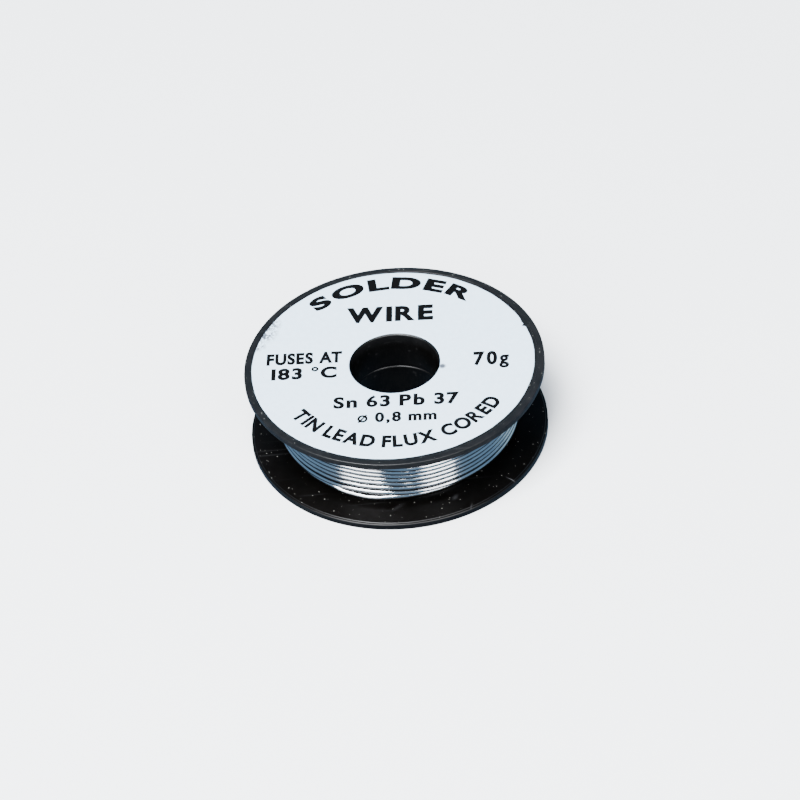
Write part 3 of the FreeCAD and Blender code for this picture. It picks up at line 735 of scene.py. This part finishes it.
def paper_round():
    """The label as a closed sheet, with soft edges and a very slight waviness on top."""
    around, bm = 720, bmesh.new()
    shares = [0.0, 0.004, 0.01] + [k / 28 for k in range(1, 28)] + [0.99, 0.996, 1.0]
    lifts = {0: -0.045, 1: -0.012, len(shares) - 1: -0.045, len(shares) - 2: -0.012}
    rings = []
    for i in range(around):
        turn = math.tau * i / around
        direction = Vector((math.cos(turn), math.sin(turn), 0.0))
        outer = label_edge(turn)
        column = []
        for k, share in enumerate(shares):
            r = LABEL_HOLE + (outer - LABEL_HOLE) * share
            wave = 0.003 * math.sin(3 * turn + r * 0.3) * math.sin(r * 0.5) - 0.003
            column.append((direction * r + HOLE_SHIFT * (1 - share), LABEL_TOP + lifts.get(k, wave)))
        top_row = [bm.verts.new((p.x * MM, p.y * MM, z * MM)) for p, z in column]
        low = [bm.verts.new((p.x * MM, p.y * MM, LABEL_BOTTOM * MM)) for p, _ in (column[0], column[-1])]
        rings.append([low[0]] + top_row + [low[1]])
    for i in range(around):
        one, two = rings[i], rings[(i + 1) % around]
        for k in range(len(one)):
            j = (k + 1) % len(one)
            bm.faces.new((one[k], two[k], two[j], one[j]))
    bmesh.ops.translate(bm, verts=bm.verts, vec=LABEL_SHIFT * MM)
    return bm


paper = coated_paper()
label = finished("paper_label", paper_round(), paper)
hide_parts("front_label")
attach(label, "root")


# ---- the print on the label -------------------------------------------------------------------------------
# Plain black lettering: what it is, its melting point, weight, alloy and wire gauge. It is printed on the
# paper in a thick ink, turned a little from the spool's own front.

PRINT_TURN = math.radians(-3.9)
INK_TOP = HEIGHT - 0.004
INK_DEPTH = 0.014
INK_BOTTOM = INK_TOP - INK_DEPTH
# how high the font's capitals are at a text size of one
CAPITAL = 0.729
RING_SIDES = 48
# how far the slash of a diameter sign reaches from its middle
SLASH = 0.37


def printing_ink():
    """Black ink, a little uneven where it soaked into the paper."""
    material = bpy.data.materials.new("printing_ink")
    tree, shader = nodes_of(material)
    soak = add(tree, "ShaderNodeTexNoise", (0, place_in_mm(tree)), Scale=5.0, Detail=4.0, Roughness=0.7)
    colour = mix(tree, ramp(tree, soak.outputs[0], (0.45, 0.0), (0.75, 1.0)), (0.0010, 0.0010, 0.0011),
                 (0.0045, 0.0045, 0.0050))
    tree.links.new(colour, shader.inputs["Base Color"])
    tree.links.new(maths(tree, "ADD", 0.45, maths(tree, "MULTIPLY", soak.outputs[0], 0.2)),
                   shader.inputs["Roughness"])
    shader.inputs["Specular IOR Level"].default_value = 0.05
    return material


ink = printing_ink()


def letter_mesh(text, boldness):
    """A letter as a flat mesh, at a text size of one."""
    data = bpy.data.curves.new("glyph", "FONT")
    data.body = text
    data.size = 1.0
    data.offset = boldness
    data.resolution_u = 6
    data.fill_mode = "FRONT"
    holder = bpy.data.objects.new("glyph", data)
    bpy.context.scene.collection.objects.link(holder)
    mesh = bpy.data.meshes.new_from_object(holder.evaluated_get(bpy.context.evaluated_depsgraph_get()))
    bpy.data.objects.remove(holder)
    return mesh


def glyph_box(mesh):
    """Left and right of a flat glyph."""
    xs = [v.co.x for v in mesh.vertices]
    return min(xs), max(xs)


def inked(name, sheets):
    """Flat glyph meshes, each with its place, given the ink's thickness and joined into one piece."""
    bm = bmesh.new()
    for mesh, matrix in sheets:
        mesh.transform(matrix)
        bm.from_mesh(mesh)
        bpy.data.meshes.remove(mesh)
    bmesh.ops.remove_doubles(bm, verts=bm.verts, dist=1e-7)
    made = bmesh.ops.extrude_face_region(bm, geom=bm.faces[:])
    raised = [v for v in made["geom"] if isinstance(v, bmesh.types.BMVert)]
    bmesh.ops.translate(bm, verts=raised, vec=(0, 0, INK_DEPTH * MM))
    bmesh.ops.triangulate(bm, faces=bm.faces[:])
    piece = finished(name, bm, ink)
    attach(piece, "root")


def ring_sign(middle, reach, weight, slashed):
    """A ring, with a slash through it for a diameter sign, on the same scale as the letters."""
    bm = bmesh.new()
    rows = []
    for i in range(RING_SIDES):
        turn = math.tau * i / RING_SIDES
        way = Vector((math.cos(turn), math.sin(turn), 0.0))
        rows.append((bm.verts.new(middle + way * (reach - weight)), bm.verts.new(middle + way * reach)))
    for i in range(RING_SIDES):
        (a, b), (c, d) = rows[i], rows[(i + 1) % RING_SIDES]
        bm.faces.new((a, b, d, c))
    lean = Vector((0.62, 0.78, 0.0))
    aside = Vector((0.78, -0.62, 0.0)) * weight * 0.4
    for end, start in ((SLASH, reach), (weight - reach, reach - weight), (-reach, -SLASH)) if slashed else ():
        corners = (lean * start - aside, lean * start + aside, lean * end + aside, lean * end - aside)
        bm.faces.new([bm.verts.new(middle + corner) for corner in corners])
    for face in bm.faces:
        face.normal_update()
        if face.normal.z < 0:
            face.normal_flip()
    mesh = bpy.data.meshes.new("sign")
    bm.to_mesh(mesh)
    bm.free()
    return mesh


# how much of the boldness a letter takes whose small openings would close up, and pairs set closer together
THIN = {"g": 0.8, "R": 0.85, "6": 0.8}
CLOSE = {"AT": 0.14, "LE": 0.02, "LD": 0.03, "EA": 0.03, "UX": 0.03}


def set_out(text, boldness, gap):
    """Glyph meshes for a text, with each one's middle along the line, its own middle, and the line's length."""
    glyphs, place = [], 0.0
    for letter, following in zip(text, text[1:] + " "):
        if letter == " ":
            place += 0.30
            continue
        if letter == "ø":
            mesh = ring_sign(Vector((0.29, 0.27, 0.0)), 0.29, 0.095 + boldness, True)
        elif letter == "°":
            mesh = ring_sign(Vector((0.14, 0.60, 0.0)), 0.16, 0.06 + boldness, False)
        else:
            mesh = letter_mesh(letter, boldness * THIN.get(letter, 1.0))
        x0, x1 = glyph_box(mesh)
        glyphs.append((mesh, place + (x1 - x0) / 2, (x0 + x1) / 2))
        place += x1 - x0 + gap - CLOSE.get(letter + following, 0.0)
    return glyphs, place - gap


def straight(name, text, left, right, base, cap, boldness, gap):
    """A line of lettering from left to right on a base line, in the label's own millimetres."""
    glyphs, total = set_out(text, boldness, gap)
    wide = (right - left) / total
    sheets = []
    for mesh, at, centre in glyphs:
        place = (Matrix.Translation((0, 0, INK_BOTTOM * MM)) @ Matrix.Rotation(PRINT_TURN, 4, "Z")
                 @ Matrix.Translation(((left + at * wide) * MM, base * MM, 0))
                 @ Matrix.Diagonal((wide * MM, cap / CAPITAL * MM, 1.0, 1.0))
                 @ Matrix.Translation((-centre, 0, 0)))
        sheets.append((mesh, place))
    inked(name, sheets)


def curved(name, text, middle, span, base, cap, boldness, gap, under=False):
    """Lettering round an arc, letter by letter: its middle angle, the angle that it spans, and base radius."""
    glyphs, total = set_out(text, boldness, gap)
    per = math.radians(span) / total
    sheets = []
    for mesh, at, centre in glyphs:
        turn = (at - total / 2) * per
        angle = math.radians(middle) + (turn if under else -turn)
        facing = angle + math.pi / 2 if under else angle - math.pi / 2
        place = (Matrix.Translation((base * math.cos(angle) * MM, base * math.sin(angle) * MM,
                                     INK_BOTTOM * MM))
                 @ Matrix.Rotation(facing, 4, "Z")
                 @ Matrix.Diagonal((per * base * MM, cap / CAPITAL * MM, 1.0, 1.0))
                 @ Matrix.Translation((-centre, 0, 0)))
        sheets.append((mesh, place))
    inked(name, sheets)


curved("print_title", "SOLDER", 88.0, 81.5, 19.4, 2.9, boldness=0.060, gap=0.06)
straight("print_form", "WIRE", -8.1, 6.5, 11.0, 3.7, boldness=0.054, gap=0.09)
straight("print_fuses", "FUSES AT", -21.3, -8.7, 1.0, 2.7, boldness=0.052, gap=0.05)
straight("print_degrees", "183 °C", -20.4, -9.5, -2.8, 2.7, boldness=0.046, gap=0.09)
straight("print_weight", "70g", 13.2, 19.1, -1.3, 3.2, boldness=0.046, gap=0.09)
straight("print_alloy", "Sn 63 Pb 37", -9.9, 10.8, -10.6, 2.7, boldness=0.044, gap=0.10)
straight("print_gauge", "ø 0,8 mm", -5.9, 7.1, -14.4, 2.3, boldness=0.044, gap=0.10)
curved("print_contents", "TIN LEAD FLUX CORED", -91.5, 114.0, 20.6, 2.7, boldness=0.048, gap=0.10, under=True)


# ---- floor and light --------------------------------------------------------------------------------------
# A plain pale floor, two soft boxes at the front whose reflections lie on the wire in two bands, a strong soft
# box above for the label and the floor, and a weak one at the right.

floor_mesh = bpy.data.meshes.new("floor")
bm = bmesh.new()
bmesh.ops.create_grid(bm, x_segments=8, y_segments=8, size=3.0)
bm.to_mesh(floor_mesh)
bm.free()
floor = bpy.data.objects.new("floor", floor_mesh)
bpy.context.scene.collection.objects.link(floor)
floor_material = bpy.data.materials.new("pale_floor")
tree, shader = nodes_of(floor_material)
shader.inputs["Base Color"].default_value = (0.93, 0.93, 0.93, 1.0)
shader.inputs["Roughness"].default_value = 0.8
floor.data.materials.append(floor_material)
# the floor isn't mirrored, so the wire and the gloss are as dark as on a dark bench
floor.visible_glossy = False

world = bpy.data.worlds.new("studio")
bpy.context.scene.world = world
world.use_nodes = True
background = next(n for n in world.node_tree.nodes if n.type == "BACKGROUND")
background.inputs[0].default_value = (0.38, 0.66, 1.0, 1.0)
background.inputs[1].default_value = 0.42


def soft_box(name, azimuth, elevation, distance, width, height, power, tint=(1.0, 1.0, 1.0)):
    """An area light aimed at the spool. Azimuth is from the front, positive to the right."""
    data = bpy.data.lights.new(name, "AREA")
    data.shape = "RECTANGLE"
    data.size = width
    data.size_y = height
    data.energy = power
    data.color = tint
    light = bpy.data.objects.new(name, data)
    a, e = math.radians(azimuth), math.radians(elevation)
    away = Vector((math.sin(a) * math.cos(e), -math.cos(a) * math.cos(e), math.sin(e)))
    light.location = Vector((0, 0, 0.007)) + away * distance
    light.rotation_mode = "QUATERNION"
    light.rotation_quaternion = (-away).to_track_quat("-Z", "Y")
    bpy.context.scene.collection.objects.link(light)
    return light


soft_box("left_soft_box", -37.0, 28.0, 0.9, 0.62, 0.9, 13.0)
soft_box("right_soft_box", 30.0, 28.0, 0.9, 0.42, 0.9, 9.0)
soft_box("top_soft_box", -38.0, 68.0, 1.1, 0.6, 0.6, 60.0, (0.94, 0.97, 1.0))
soft_box("side_fill", 112.0, 20.0, 0.9, 0.5, 0.6, 0.35, (0.80, 1.0, 0.92))
